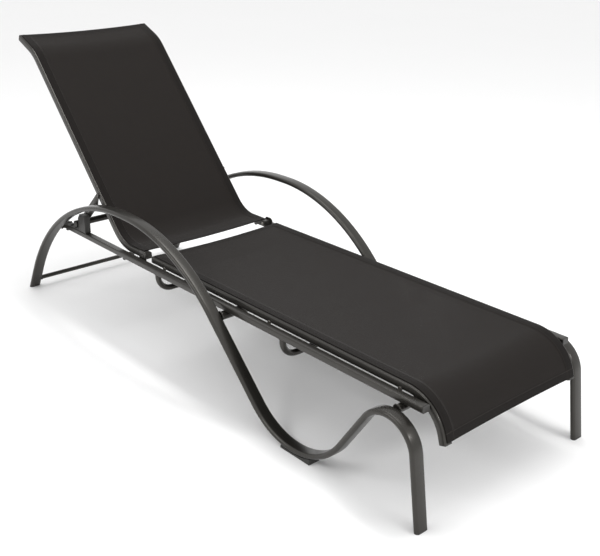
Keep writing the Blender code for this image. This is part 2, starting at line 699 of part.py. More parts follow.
def backrest(body):
    path = back_path()
    pivot = prop_pivot()
    for label, side in SIDES:
        line = in_plane(path, side * RAIL_Y)
        rail = swept(f"back_rail_{label}", line, Y_AXIS, rail_section, FRAME_PAINT, body)
        hinge = Vector((-PIVOT_FROM_FOOT, side * RAIL_Y, SEAT_RAIL_HEIGHT))
        bore(rail, f"pivot_hole_{label}", hinge, Y_AXIS, BOLT_SHANK / 2 + BOLT_FIT, HOLE_LONG, body)
        prop_hole = Vector((pivot.x, side * RAIL_Y, pivot.y))
        bore(rail, f"prop_hole_{label}", prop_hole, Y_AXIS, BOLT_SHANK / 2 + BOLT_FIT, HOLE_LONG, body)
        outwards = direction(path, -1)
        plug(f"back_rail_plug_{label}", line[-1], outwards, Y_AXIS, rail_section, PLUG_PLASTIC, body)
    head_crossbar(path, body)
    sling("back_sling", shortened(path, RAIL_THICK / 2 + BACK_SLING_LOW, SLING_INSET), body)


def head_crossbar(path, body):
    """A bar across the head of the backrest, bowed back behind the fabric."""
    start = offset_path(shortened(path, 0, HEAD_BAR_FROM_END), -HEAD_BAR_SUNK)[-1]
    bow = Vector((-math.cos(HEAD_BOW_ANGLE), -math.sin(HEAD_BOW_ANGLE)))
    half = RAIL_INNER_Y - CLEARANCE
    line = []
    for i in range(HEAD_BAR_STEPS + 1):
        share = 2 * i / HEAD_BAR_STEPS - 1
        place = start + bow * (HEAD_BOW * math.cos(math.pi / 2 * share))
        line.append(Vector((place.x, half * share, place.y)))
    side = Vector((-bow.y, 0, bow.x))
    swept("head_crossbar", line, side, bar_section(HEAD_CROSSBAR), FRAME_PAINT, body, cut=Y_AXIS)


# ---------------------------------------------------------------- prop
def prop(body):
    """Two arms on the back rails with a rod across their lower ends."""
    pivot = prop_pivot()
    rod = rod_place()
    for label, side in SIDES:
        arm = plate(f"prop_arm_{label}", arm_outline(pivot, rod), *gap_plate(side), FRAME_PAINT, body)
        middle = side * (RAIL_OUTER_Y + RAIL_GAP / 2)
        upper = Vector((pivot.x, middle, pivot.y))
        bore(arm, f"arm_pivot_hole_{label}", upper, Y_AXIS, BOLT_SHANK / 2 + BOLT_FIT, HOLE_LONG, body)
        lower = Vector((rod.x, middle, rod.y))
        bore(arm, f"arm_rod_hole_{label}", lower, Y_AXIS, PROP_ROD / 2 + BOLT_FIT, HOLE_LONG, body)
    reach = BASE_RAIL_Y + BASE_RAIL_WIDE / 2
    crossbar("prop_rod", rod.x, rod.y, reach, PROP_ROD, body)
    radius = ROD_CAP / 2
    for label, side in SIDES:
        end = Vector((rod.x, side * (reach + CLEARANCE), rod.y))
        dome = [(radius, 0), (radius, ROD_CAP_HIGH * 0.6), (radius * 0.7, ROD_CAP_HIGH)]
        turned(f"rod_cap_{label}", end, Y_AXIS * side, dome, PLUG_PLASTIC, body)


def arm_outline(pivot, rod):
    """A plate with round ends about two points and a deep corner under the upper one."""
    along = (rod - pivot).normalized()
    across = Vector((-along.y, along.x))
    points = []
    ends = ((rod, PROP_ARM_FOOT / 2, -90, 90), (pivot, PROP_ARM_WIDE / 2, 90, 180))
    for centre, radius, first, last in ends:
        for i in range(ROUND_END_STEPS + 1):
            turn = math.radians(first + (last - first) * i / ROUND_END_STEPS)
            points.append(centre + radius * (along * math.cos(turn) - across * math.sin(turn)))
    points.append(pivot + Vector((-PROP_ARM_SET_BACK, -PROP_ARM_DEEP)))
    return [(p.x, p.y) for p in points]


def prop_bolts(body):
    """Bolts through the back rails on which the prop swings."""
    pivot = prop_pivot()
    tip = BASE_INNER_Y - CLEARANCE
    for label, side in SIDES:
        start = Vector((pivot.x, side * tip, pivot.y))
        bolt(f"prop_bolt_{label}", start, -Y_AXIS * side, tip - RAIL_INNER_Y + CLEARANCE, body)


# ---------------------------------------------------------------- whole lounger
def centre_on_floor(root):
    """Moves the lounger so that the middle of its box is over the origin."""
    bpy.context.view_layer.update()
    low, high = math.inf, -math.inf
    for obj in bpy.context.scene.objects:
        if obj.type == "MESH" and not obj.hide_render:
            for vertex in obj.data.vertices:
                x = (obj.matrix_world @ vertex.co).x
                low, high = min(low, x), max(high, x)
    root.location.x -= (low + high) / 2


def build():
    for obj in list(bpy.data.objects):
        bpy.data.objects.remove(obj)
    root = empty("lounger", (0, 0, 0))
    hinge = empty("backrest_pivot", (-PIVOT_FROM_FOOT, 0, SEAT_RAIL_HEIGHT), root)
    swing_place = prop_pivot()
    swing = empty("prop_pivot", (swing_place.x, 0, swing_place.y), hinge)
    side_frames(root)
    base_rails(root)
    crossbars(root)
    seat(root)
    bumpers(root)
    racks(root)
    pivot_brackets(root)
    backrest(hinge)
    prop_bolts(hinge)
    prop(swing)
    centre_on_floor(root)


build()
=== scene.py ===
"""Looks of the reclining sun lounger: bent tubes with their bright bends, mesh slings, prop, racks,
plugs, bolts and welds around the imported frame.

Metres, +Z up, +X to the foot end. Shapes in the side view are written as distances from the front
of the front feet, negative towards the head end, and FOOT moves them to their place.
"""

import math

import bpy
from mathutils import Euler, Matrix, Vector


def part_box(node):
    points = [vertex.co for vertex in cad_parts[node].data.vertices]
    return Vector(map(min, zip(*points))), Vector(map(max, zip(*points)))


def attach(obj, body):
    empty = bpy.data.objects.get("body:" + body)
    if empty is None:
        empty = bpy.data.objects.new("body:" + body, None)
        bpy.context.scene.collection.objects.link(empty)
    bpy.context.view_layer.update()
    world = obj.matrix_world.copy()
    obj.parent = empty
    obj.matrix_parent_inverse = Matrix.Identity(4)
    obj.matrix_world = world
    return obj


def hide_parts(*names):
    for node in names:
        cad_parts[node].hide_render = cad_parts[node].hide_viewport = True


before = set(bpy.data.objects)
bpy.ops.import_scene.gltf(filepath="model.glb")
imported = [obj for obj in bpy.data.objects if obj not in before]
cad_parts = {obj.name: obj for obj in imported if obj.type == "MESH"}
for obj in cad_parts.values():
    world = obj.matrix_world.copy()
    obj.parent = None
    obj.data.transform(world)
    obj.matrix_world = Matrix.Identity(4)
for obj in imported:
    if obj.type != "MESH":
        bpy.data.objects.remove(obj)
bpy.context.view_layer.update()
bpy.ops.object.select_all(action="DESELECT")

X_AXIS = Vector((1, 0, 0))
Y_AXIS = Vector((0, 1, 0))
Z_AXIS = Vector((0, 0, 1))
SIDES = (("left", 1), ("right", -1))
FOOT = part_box("front_foot_cap_left")[1][0]

# ---------------------------------------------------------------- side frame
LEG_SPAN = 1.939            # front of the front feet to back of the rear feet
ARM_HEIGHT = 0.4486         # centre line of the arm
REAR_LEG_ANGLE = math.radians(60.1)
ARM_REAR_BEND = 0.724
ARM_FRONT_BEND = 0.592
DESCENT_ANGLE = math.radians(44.9)
DESCENT_FROM_FOOT = 0.9765  # where the descent's line meets the arm's height
RISE_ANGLE = math.radians(55.3)
RISE_FROM_FOOT = 0.3453     # where the rise's line meets the floor
FRONT_LEG_ANGLE = math.radians(82.1)
HUMP_HEIGHT = 0.2633
MID_PAD = 0.005
OVAL_WIDE = 0.039
OVAL_THICK = 0.016
SPARE_LEG = 0.020           # drawn past the floor, then cut off

# ---------------------------------------------------------------- rails and bars
RAIL_WIDE = 0.025
RAIL_THICK = 0.021
RAIL_CORNER = 0.0035
BASE_RAIL_WIDE = 0.023
BASE_RAIL_THICK = 0.018
SEAT_RAIL_HEIGHT = 0.3035
SEAT_GAP = 0.050            # backrest pivot to the rear end of the seat rails
SEAT_FRONT_BEND = 0.112
SEAT_FRONT_ANGLE = math.radians(74)
SEAT_FRONT_DROP = 0.098
PIVOT_FROM_FOOT = 1.246
BACK_CORNER_FROM_PIVOT = 0.1295
BACK_LENGTH = 0.843         # from the lower bend's corner to the head end
BACK_ANGLE = math.radians(47.5)
BACK_LOWER_BEND = 0.125
BACK_HEAD_ANGLE = math.radians(23)
BACK_HEAD_BEND = 0.135
BACK_HEAD_LENGTH = 0.100
DROP_BEND = 0.046
DROP_BAR = 0.018
HEAD_BAR = 0.016
HEAD_BAR_FROM_END = 0.095
HEAD_BAR_SUNK = 0.006       # its ends behind the rails' centre line
HEAD_BOW = 0.058
HEAD_BOW_ANGLE = math.radians(29)
HEAD_BAR_SPARE = math.radians(2)  # turned past each rail, then cut off
HEAD_BAR_STEPS = 40
PIECE_GAP = 0.0003
PLUG_FACE = 0.003
PLUG_ROUNDING = 0.0013
BEAD = 0.0017               # weld beads' radius
BEAD_RIPPLE = 0.0005
BEAD_RIPPLES = 24
SAME_POINT = 0.00001        # points this near are one

# ---------------------------------------------------------------- slings
FABRIC_OVER_RAIL = 0.006    # its edge past the rails' centre line
RAIL_TOP_FLAT = 0.0065      # from the rails' centre line to where the fabric leaves them
FABRIC_OFF_RAIL = 0.0002
FABRIC_THICK = 0.0011
HEM_THICK = 0.0024
SIDE_HEM = 0.0265
END_HEM = 0.024
HEM_EDGE = (-0.0004, 0.0006)  # points on both sides of where the side hem ends
HEM_ROWS = (0.0, 0.0015, 0.006)
SLACK_ROWS = (0.016, 0.021)
OPEN_CLOTH = 0.032          # from the edge to the evenly spaced points
OPEN_CLOTH_STEPS = 26
ROW_SPACING = 0.006
SEAT_SAG = 0.011
BACK_SAG = 0.010
SLING_INSET = 0.003
BACK_SLING_LOW = 0.007      # lower edge of the back's fabric behind the rails' tail
YARN_PITCH = 0.0015
HOLE_SHARE = 0.90           # of the yarns' wave, past which there is a hole
SIDE_STITCH = (0.0032, 0.0020)
END_STITCH = (0.0036, 0.0022)
STITCH_LONG = 0.0042

# ---------------------------------------------------------------- camera and lamps
CAMERA_FROM_FOOT = 1.15976
CAMERA_SIDE = -1.70738
CAMERA_HEIGHT = 1.36402
CAMERA_TILT = math.radians(22.251)
CAMERA_AZIMUTH = math.radians(48.780)
CAMERA_ROLL = math.radians(0.352)
LENS = 56.814
SENSOR = 36
FLOOR_SIZE = 40
LAMPS = (                   # name, place, what it points at, size, power
    ("overhead_strip", (0.0, 0.6, 3.4), (0, 0, 0), (3.2, 0.5), 42),
    ("left_window", (-0.6, -3.4, 3.0), (0, 0, 0.2), (3.0, 0.5), 48),
    ("foot_window", (4.2, 0.8, 2.6), (0, 0, 0.2), (2.4, 0.5), 48),
)

# ---------------------------------------------------------------- places read from the frame
def middle(node):
    low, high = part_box(node)
    return (Vector(low) + Vector(high)) / 2


def reach(node, axis):
    """How far a node goes from its middle along an axis."""
    low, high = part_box(node)
    return (high[axis] - low[axis]) / 2


SIDE_FRAME_Y = middle("side_frame_left").y
RAIL_Y = middle("seat_rail_left").y
RAIL_INNER_Y = RAIL_Y - RAIL_WIDE / 2
LEG_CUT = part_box("side_frame_left")[0][2]


# ---------------------------------------------------------------- finishes
class Value:
    """A number that varies over a surface. Sums and products of it add their nodes."""

    def __init__(self, finish, socket):
        self.finish = finish
        self.socket = socket

    def worked(self, operation, first, second=None):
        sockets = {0: first} if second is None else {0: first, 1: second}
        made = self.finish.node("Math", {"operation": operation}, sockets)
        return Value(self.finish, made.outputs[0])

    def __add__(self, other):
        return self.worked("ADD", self, other)

    def __radd__(self, other):
        return self.worked("ADD", other, self)

    def __sub__(self, other):
        return self.worked("SUBTRACT", self, other)

    def __rsub__(self, other):
        return self.worked("SUBTRACT", other, self)

    def __mul__(self, other):
        return self.worked("MULTIPLY", self, other)

    def sine(self):
        return self.worked("SINE", self)

    def above(self, limit):
        return self.worked("GREATER_THAN", self, limit)

    def below(self, limit):
        return self.worked("LESS_THAN", self, limit)

    def larger(self, other):
        return self.worked("MAXIMUM", self, other)


class Finish:
    """A material in the making."""

    def __init__(self, name, colour, roughness, metallic=0.0):
        self.material = bpy.data.materials.new(name)
        self.material.use_nodes = True
        self.tree = self.material.node_tree
        self.shader = self.tree.nodes["Principled BSDF"]
        self.material.diffuse_color = (*colour, 1)
        self.join(self.shader, {"Base Color": (*colour, 1), "Roughness": roughness, "Metallic": metallic})

    def join(self, node, sockets):
        for name, given in sockets.items():
            socket = node.inputs[name]
            if isinstance(given, Value):
                self.tree.links.new(given.socket, socket)
            elif isinstance(given, bpy.types.NodeSocket):
                self.tree.links.new(given, socket)
            else:
                socket.default_value = given

    def node(self, kind, settings, sockets):
        """Any node: its settings first, then its sockets' values or links."""
        made = self.tree.nodes.new("ShaderNode" + kind)
        for name, given in settings.items():
            if name == "stops":
                ramp = made.color_ramp.elements
                while len(ramp) < len(given):
                    ramp.new(0.5)
                for stop, (place, shade) in zip(ramp, given):
                    stop.position = place
                    stop.color = shade
            else:
                setattr(made, name, given)
        self.join(made, sockets)
        return made

    def on_object(self):
        return self.node("TexCoord", {}, {}).outputs["Object"]

    def noise(self, size, detail=3, where=None, roughness=0.5):
        """Noise from 0 to 1 whose patches are about `size` metres across."""
        sockets = {"Vector": where or self.on_object(), "Scale": 1 / size, "Detail": detail,
                   "Roughness": roughness}
        return Value(self, self.node("TexNoise", {}, sockets).outputs[0])

    def blend(self, factor, first, second):
        """A colour between two others."""
        settings = {"data_type": "RGBA"}
        return self.node("Mix", settings, {0: factor, 6: first, 7: second}).outputs[2]

    def raised(self, height, depth):
        """The surface pushed in and out by a height, `depth` metres at most."""
        sockets = {"Height": height, "Distance": depth, "Strength": 1.0}
        self.join(self.shader, {"Normal": self.node("Bump", {}, sockets).outputs["Normal"]})


def shade(red, green, blue):
    return (red, green, blue, 1)


def graphite_paint():
    """Satin powder coat: fine orange peel, cloudy gloss, and a little rubbing in scattered patches."""
    paint = Finish("graphite_powder_coat", (0.075, 0.070, 0.064), 0.33, 0.62)
    peel = paint.noise(0.0022, 4)
    clouds = paint.noise(0.16, 3)
    flakes = paint.noise(0.0006, 2)
    rubbed = (paint.noise(0.045, 6, roughness=0.65) - 0.60) * 4.0
    tone = clouds * 0.7 + flakes * 0.3
    base = paint.blend(tone, shade(0.027, 0.025, 0.022), shade(0.046, 0.043, 0.038))
    worn = paint.blend(rubbed.larger(0.0) * 0.25, base, shade(0.085, 0.080, 0.072))
    gloss = 0.22 + clouds * 0.08 + peel * 0.05
    paint.join(paint.shader, {"Base Color": worn, "Roughness": gloss})
    paint.join(paint.shader, {"Coat Weight": 0.12, "Coat Roughness": 0.12})
    paint.raised(peel, 0.00006)
    return paint.material


def mesh_cloth():
    """Coated mesh: square holes between round yarns, closed and stitched along its hems."""
    cloth = Finish("dark_mesh_cloth", (0.038, 0.033, 0.029), 0.62)
    weave = cloth.node("UVMap", {"uv_map": "weave"}, {}).outputs["UV"]
    edges = cloth.node("UVMap", {"uv_map": "edges"}, {}).outputs["UV"]
    place = cloth.node("SeparateXYZ", {}, {"Vector": weave})
    edge = cloth.node("SeparateXYZ", {}, {"Vector": edges})
    across = Value(cloth, place.outputs["X"])
    along = Value(cloth, place.outputs["Y"])
    from_side = Value(cloth, edge.outputs["X"])
    from_end = Value(cloth, edge.outputs["Y"])
    warp = (across * (math.tau / YARN_PITCH)).sine() * 0.5 + 0.5
    weft = (along * (math.tau / YARN_PITCH)).sine() * 0.5 + 0.5
    hems = from_side.below(SIDE_HEM).larger(from_end.below(END_HEM))
    holes = (warp * weft).above(HOLE_SHARE) * (1 - hems)
    side_stitch = from_side.above(SIDE_HEM - SIDE_STITCH[0]) * from_side.below(SIDE_HEM - SIDE_STITCH[1])
    end_stitch = from_end.above(END_HEM - END_STITCH[0]) * from_end.below(END_HEM - END_STITCH[1])
    dashes = ((across + along) * (math.tau / STITCH_LONG)).sine().above(-0.2)
    thread = side_stitch.larger(end_stitch) * dashes
    yarn_tone = cloth.noise(0.004, 3, weave) * 0.5 + cloth.noise(0.07, 3, weave) * 0.5
    slub = cloth.node("Mapping", {}, {"Vector": weave, "Scale": (900, 14, 1)})
    streaks = cloth.noise(1.0, 2, slub.outputs["Vector"])
    yarn = cloth.blend(yarn_tone, shade(0.007, 0.0055, 0.005), shade(0.014, 0.0115, 0.010))
    streaked = cloth.blend(streaks * 0.45, yarn, shade(0.022, 0.019, 0.017))
    hemmed = cloth.blend(hems * 0.55, streaked, shade(0.006, 0.005, 0.0045))
    stitched = cloth.blend(thread, hemmed, shade(0.035, 0.030, 0.026))
    rough = 0.62 + yarn_tone * 0.22 + hems * 0.06
    cloth.join(cloth.shader, {"Base Color": stitched, "Roughness": rough, "Alpha": 1 - holes})
    cloth.join(cloth.shader, {"Sheen Weight": 0.07, "Sheen Roughness": 0.4, "Specular IOR Level": 0.1})
    cloth.raised(warp * 0.5 + weft * 0.5 + thread * 1.5, 0.00022)
    return cloth.material


def moulded_plastic():
    """Fine-sparked black plastic whose tone and gloss vary a little in patches."""
    plastic = Finish("dark_moulded_plastic", (0.036, 0.034, 0.032), 0.5)
    grain = plastic.noise(0.0009, 3)
    flow = plastic.noise(0.02, 3)
    tone = plastic.blend(flow, shade(0.028, 0.027, 0.025), shade(0.046, 0.044, 0.041))
    plastic.join(plastic.shader, {"Base Color": tone, "Roughness": 0.42 + flow * 0.12 + grain * 0.08})
    plastic.raised(grain, 0.00008)
    return plastic.material


def foot_rubber():
    """Dull rubber with dust in its grain."""
    rubber = Finish("black_foot_rubber", (0.024, 0.024, 0.023), 0.8)
    grain = rubber.noise(0.0012, 4)
    dust = rubber.noise(0.010, 4)
    tone = rubber.blend(dust, shade(0.018, 0.018, 0.017), shade(0.046, 0.044, 0.041))
    rubber.join(rubber.shader, {"Base Color": tone, "Roughness": 0.70 + dust * 0.2})
    rubber.raised(grain, 0.00015)
    return rubber.material


def bolt_steel():
    """Blackened steel with fine turning marks."""
    steel = Finish("blackened_bolt_steel", (0.13, 0.125, 0.115), 0.34, 0.9)
    marks = steel.noise(0.0007, 3)
    stain = steel.noise(0.006, 3)
    tone = steel.blend(stain, shade(0.10, 0.095, 0.088), shade(0.19, 0.18, 0.165))
    steel.join(steel.shader, {"Base Color": tone, "Roughness": 0.26 + marks * 0.2})
    steel.raised(marks, 0.00003)
    return steel.material


def pale_floor():
    floor = Finish("pale_studio_floor", (0.9, 0.9, 0.9), 0.7)
    clouds = floor.noise(1.5, 2)
    tone = floor.blend(clouds, shade(0.89, 0.89, 0.89), shade(0.91, 0.91, 0.91))
    floor.join(floor.shader, {"Base Color": tone, "Roughness": 0.55 + clouds * 0.1})
    return floor.material


# ---------------------------------------------------------------- working with a piece
def take_up(piece):
    if bpy.context.mode != "OBJECT":
        bpy.ops.object.mode_set(mode="OBJECT")
    bpy.ops.object.select_all(action="DESELECT")
    piece.select_set(True)
    bpy.context.view_layer.objects.active = piece


def set_down(piece, angle=32):
    """Ends work on a piece: its doubles merged, its faces outwards, smooth over gentle edges."""
    take_up(piece)
    bpy.ops.object.transform_apply(location=True, rotation=True, scale=True)
    bpy.ops.object.mode_set(mode="EDIT")
    bpy.ops.mesh.select_all(action="SELECT")
    bpy.ops.mesh.remove_doubles(threshold=SAME_POINT)
    bpy.ops.mesh.normals_make_consistent(inside=False)
    bpy.ops.object.mode_set(mode="OBJECT")
    bpy.ops.object.shade_smooth_by_angle(angle=math.radians(angle))
    return piece


def choose(piece, wanted):
    """Selects the points that are wanted, by their place, and nothing else."""
    bpy.ops.object.mode_set(mode="EDIT")
    bpy.ops.mesh.select_all(action="DESELECT")
    bpy.ops.object.mode_set(mode="OBJECT")
    for vertex in piece.data.vertices:
        vertex.select = wanted(vertex.co)
    bpy.ops.object.mode_set(mode="EDIT")


def facing(side, along):
    """The rotation that puts a flat outline's x on `side` and its normal on `along`."""
    return Matrix((side, along.cross(side), along)).transposed().to_euler()


def start_outline():
    """Fixes a new flat outline where it was added, and takes all of it up in edit mode."""
    bpy.ops.object.transform_apply(location=True, rotation=True, scale=True)
    bpy.ops.object.mode_set(mode="EDIT")
    bpy.ops.mesh.select_all(action="SELECT")
    return bpy.context.object


def disc(diameter, place, side, along, points=32):
    bpy.ops.mesh.primitive_circle_add(vertices=points, radius=diameter / 2, fill_type="NGON",
                                      location=place, rotation=facing(side, along))
    return start_outline()


def oval(wide, thick, place, side, along):
    """A flat oval: a disc whose halves are pulled apart."""
    piece = disc(thick, place, side, along, points=40)
    for way in (1, -1):
        choose(piece, lambda at: way * (at - place).dot(side) > thick / 100)
        bpy.ops.transform.translate(value=side * (way * (wide - thick) / 2))
    bpy.ops.mesh.select_all(action="SELECT")
    return piece


def round_box(wide, thick, corner, place, side, along):
    """A rectangle with round corners."""
    bpy.ops.mesh.primitive_plane_add(size=1, location=place, rotation=facing(side, along))
    bpy.context.object.scale = (wide, thick, 1)
    piece = start_outline()
    bpy.ops.mesh.bevel(offset=corner, affect="VERTICES", segments=6)
    bpy.ops.mesh.select_all(action="SELECT")
    return piece


def draw_out(run):
    bpy.ops.mesh.extrude_region_move(TRANSFORM_OT_translate={"value": run})


def follow(corners, radii, step=2.5):
    """Draws the selected outline along straight runs and bends. A bend is spun about its centre."""
    at = corners[0]
    ways = [(b - a).normalized() for a, b in zip(corners, corners[1:])]
    for corner, radius, way, on in zip(corners[1:], radii, ways, ways[1:]):
        turn = way.angle(on)
        draw_out(corner - way * radius * math.tan(turn / 2) - at)
        centre = corner + (on - way).normalized() * (radius / math.cos(turn / 2))
        steps = max(4, round(math.degrees(turn) / step))
        bpy.ops.mesh.spin(steps=steps, angle=-turn, center=centre, axis=way.cross(on).normalized())
        at = corner + on * radius * math.tan(turn / 2)
    draw_out(corners[-1] - at)


def cut_off(place, normal):
    """Cuts the piece at a plane, takes away what is behind it and closes it there."""
    bpy.ops.mesh.select_all(action="SELECT")
    bpy.ops.mesh.bisect(plane_co=place, plane_no=normal, clear_inner=True, use_fill=True)


def soften(piece, width, segments=3, angle=36):
    """Rounds a piece's sharp edges."""
    take_up(piece)
    rounding = piece.modifiers.new("rounding", "BEVEL")
    rounding.width = width
    rounding.segments = segments
    rounding.limit_method = "ANGLE"
    rounding.angle_limit = math.radians(angle)
    bpy.ops.object.modifier_apply(modifier=rounding.name)


def fit(piece, name, body, finish, replaced=()):
    """Names a piece, gives it its finish and puts it on its body."""
    material, slot = finish
    piece.name = name
    piece.data.name = name
    piece.data.materials.clear()
    piece.data.materials.append(material)
    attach(piece, body)
    if replaced:
        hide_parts(*replaced)
    return piece


def side_view(points, y):
    """Points of the side view at one place across the lounger."""
    return [Vector((FOOT + x, y, z)) for x, z in points]


# ---------------------------------------------------------------- outlines in the side view
def bend_to_height(corner, before, after, height):
    """Radius of the bend at a corner whose lowest or highest point lies at a height."""
    corner, before, after = Vector(corner), Vector(before), Vector(after)
    back = (before - corner).normalized()
    on = (after - corner).normalized()
    halfway = (back + on).normalized()
    upwards = 1 if halfway.y > 0 else -1
    return (height - corner.y) / (halfway.y / math.sin(back.angle(on) / 2) - upwards)


def side_frame_line():
    """Corners and bend radii of the side frame, from the rear foot over the arm to the front foot."""
    rear_x = -LEG_SPAN + OVAL_THICK / 2 / math.sin(REAR_LEG_ANGLE)
    front_x = -OVAL_THICK / 2 / math.sin(FRONT_LEG_ANGLE)
    fall = math.tan(DESCENT_ANGLE)
    rise = math.tan(RISE_ANGLE)
    lean = math.tan(FRONT_LEG_ANGLE)
    arm_rear = (rear_x + ARM_HEIGHT / math.tan(REAR_LEG_ANGLE), ARM_HEIGHT)
    arm_front = (-DESCENT_FROM_FOOT, ARM_HEIGHT)
    trough_x = (ARM_HEIGHT - fall * DESCENT_FROM_FOOT - rise * RISE_FROM_FOOT) / (fall + rise)
    trough = (trough_x, rise * (trough_x + RISE_FROM_FOOT))
    hump_x = (lean * front_x - rise * RISE_FROM_FOOT) / (lean + rise)
    hump = (hump_x, rise * (hump_x + RISE_FROM_FOOT))
    corners = [(rear_x, 0), arm_rear, arm_front, trough, hump, (front_x, 0)]
    trough_bend = bend_to_height(trough, arm_front, hump, MID_PAD + OVAL_THICK / 2)
    hump_bend = bend_to_height(hump, trough, corners[5], HUMP_HEIGHT)
    return corners, [ARM_REAR_BEND, ARM_FRONT_BEND, trough_bend, hump_bend]


def seat_line():
    rear = (-PIVOT_FROM_FOOT + SEAT_GAP, SEAT_RAIL_HEIGHT)
    end_x = -RAIL_THICK / 2 / math.sin(SEAT_FRONT_ANGLE)
    corner = (end_x - SEAT_FRONT_DROP / math.tan(SEAT_FRONT_ANGLE), SEAT_RAIL_HEIGHT)
    end = (end_x, SEAT_RAIL_HEIGHT - SEAT_FRONT_DROP)
    return [rear, corner, end], [SEAT_FRONT_BEND]


def back_line():
    pivot = Vector((-PIVOT_FROM_FOOT, SEAT_RAIL_HEIGHT))
    corner = pivot - Vector((BACK_CORNER_FROM_PIVOT, 0))
    up_back = Vector((-math.cos(BACK_ANGLE), math.sin(BACK_ANGLE)))
    to_head = Vector((-math.cos(BACK_HEAD_ANGLE), math.sin(BACK_HEAD_ANGLE)))
    head = corner + (BACK_LENGTH - BACK_HEAD_LENGTH) * up_back
    tail = pivot + Vector((RAIL_THICK / 2, 0))
    end = head + BACK_HEAD_LENGTH * to_head
    return [tuple(p) for p in (tail, corner, head, end)], [BACK_LOWER_BEND, BACK_HEAD_BEND]


def leaving(points, end):
    """Outwards at a line's first point, or at its last one if `end` is 1."""
    run = points[-1] - points[-2] if end else points[0] - points[1]
    return run.normalized()


# ---------------------------------------------------------------- pieces of tube
def weld(name, place, along, diameter, body, finish):
    """A rippled bead round the end of a bar."""
    side = Z_AXIS if abs(along.z) < 0.5 else X_AXIS
    bpy.ops.mesh.primitive_torus_add(major_segments=48, minor_segments=8, major_radius=diameter / 2,
                                     minor_radius=BEAD, location=place, rotation=facing(side, along))
    piece = start_outline()

    def on_a_ripple(at):
        arm = at - place
        angle = math.atan2(arm.dot(along.cross(side)), arm.dot(side))
        return round(angle / math.tau * 2 * BEAD_RIPPLES) % 2 == 0

    choose(piece, on_a_ripple)
    bpy.ops.transform.shrink_fatten(value=BEAD_RIPPLE)
    set_down(piece, 50)
    fit(piece, name, body, finish)


def round_bar(name, first, last, diameter, body, finish, welded=True):
    """A straight round tube in place of its node, with a bead at each end."""
    along = (last - first).normalized()
    side = Z_AXIS if abs(along.z) < 0.5 else X_AXIS
    disc(diameter, first, side, along, points=40)
    draw_out(last - first)
    fit(set_down(bpy.context.object), name + "_tube", body, finish, [name])
    if welded:
        weld(name + "_bead_a", first, along, diameter, body, finish)
        weld(name + "_bead_b", last, along, diameter, body, finish)


def plug(name, end, outwards, wide, thick, body, finish):
    """The rounded face of an end plug."""
    start = end + outwards * PIECE_GAP
    piece = round_box(wide, thick, RAIL_CORNER, start, Y_AXIS, outwards)
    draw_out(outwards * PLUG_FACE)
    set_down(piece)
    soften(piece, PLUG_ROUNDING)
    fit(set_down(piece, 50), name + "_face", body, finish, [name])


def refined(name, body, finish, rounding):
    """A CAD node's shape with its points merged, its flats made whole and its edges rounded."""
    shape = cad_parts[name]
    piece = bpy.data.objects.new(name + "_fine", shape.data.copy())
    bpy.context.scene.collection.objects.link(piece)
    piece.matrix_world = shape.matrix_world
    take_up(piece)
    bpy.ops.object.transform_apply(location=True, rotation=True, scale=True)
    bpy.ops.object.mode_set(mode="EDIT")
    bpy.ops.mesh.select_all(action="SELECT")
    bpy.ops.mesh.remove_doubles(threshold=SAME_POINT)
    bpy.ops.mesh.dissolve_limited(angle_limit=math.radians(0.5))
    soften(piece, rounding)
    fit(set_down(piece, 38), name + "_fine", body, finish, [name])


# ---------------------------------------------------------------- the fixed frame
def side_frames(paint):
    corners, radii = side_frame_line()
    for label, side in SIDES:
        line = side_view(corners, side * SIDE_FRAME_Y)
        line[0] = line[0] + leaving(line, 0) * SPARE_LEG
        line[-1] = line[-1] + leaving(line, 1) * SPARE_LEG
        piece = oval(OVAL_WIDE, OVAL_THICK, line[0], Y_AXIS, (line[1] - line[0]).normalized())
        follow(line, radii)
        cut_off(Vector((0, 0, LEG_CUT)), Z_AXIS)
        fit(set_down(piece), f"bent_side_{label}", "frame", paint, [f"side_frame_{label}"])


def bent_rail(name, node, body, line, bends, paint):
    piece = round_box(RAIL_WIDE, RAIL_THICK, RAIL_CORNER, line[0], Y_AXIS, -leaving(line, 0))
    follow(line, bends)
    fit(set_down(piece), name, body, paint, [node])


def base_rail(label, paint, plastic):
    node = f"base_rail_{label}"
    centre = middle(node)
    half = Vector((reach(node, 0), 0, 0))
    ends = (("rear", centre - half, -X_AXIS), ("front", centre + half, X_AXIS))
    piece = round_box(BASE_RAIL_WIDE, BASE_RAIL_THICK, RAIL_CORNER, ends[0][1], Y_AXIS, X_AXIS)
    draw_out(2 * half)
    fit(set_down(piece), f"base_tube_{label}", "frame", paint, [node])
    for place, end, outwards in ends:
        name = f"base_rail_{place}_plug_{label}"
        plug(name, end, outwards, BASE_RAIL_WIDE, BASE_RAIL_THICK, "frame", plastic)


def rails(paint, plastic):
    seat_corners, seat_bends = seat_line()
    back_corners, back_bends = back_line()
    for label, side in SIDES:
        line = side_view(seat_corners, side * RAIL_Y)
        bent_rail(f"seat_tube_{label}", f"seat_rail_{label}", "frame", line, seat_bends, paint)
        for place, end in (("rear", 0), ("foot", 1)):
            name = f"seat_rail_{place}_plug_{label}"
            plug(name, line[-end], leaving(line, end), RAIL_WIDE, RAIL_THICK, "frame", plastic)
        line = side_view(back_corners, side * RAIL_Y)
        bent_rail(f"back_tube_{label}", f"back_rail_{label}", "backrest", line, back_bends, paint)
        name = f"back_rail_plug_{label}"
        plug(name, line[-1], leaving(line, 1), RAIL_WIDE, RAIL_THICK, "backrest", plastic)
        base_rail(label, paint, plastic)


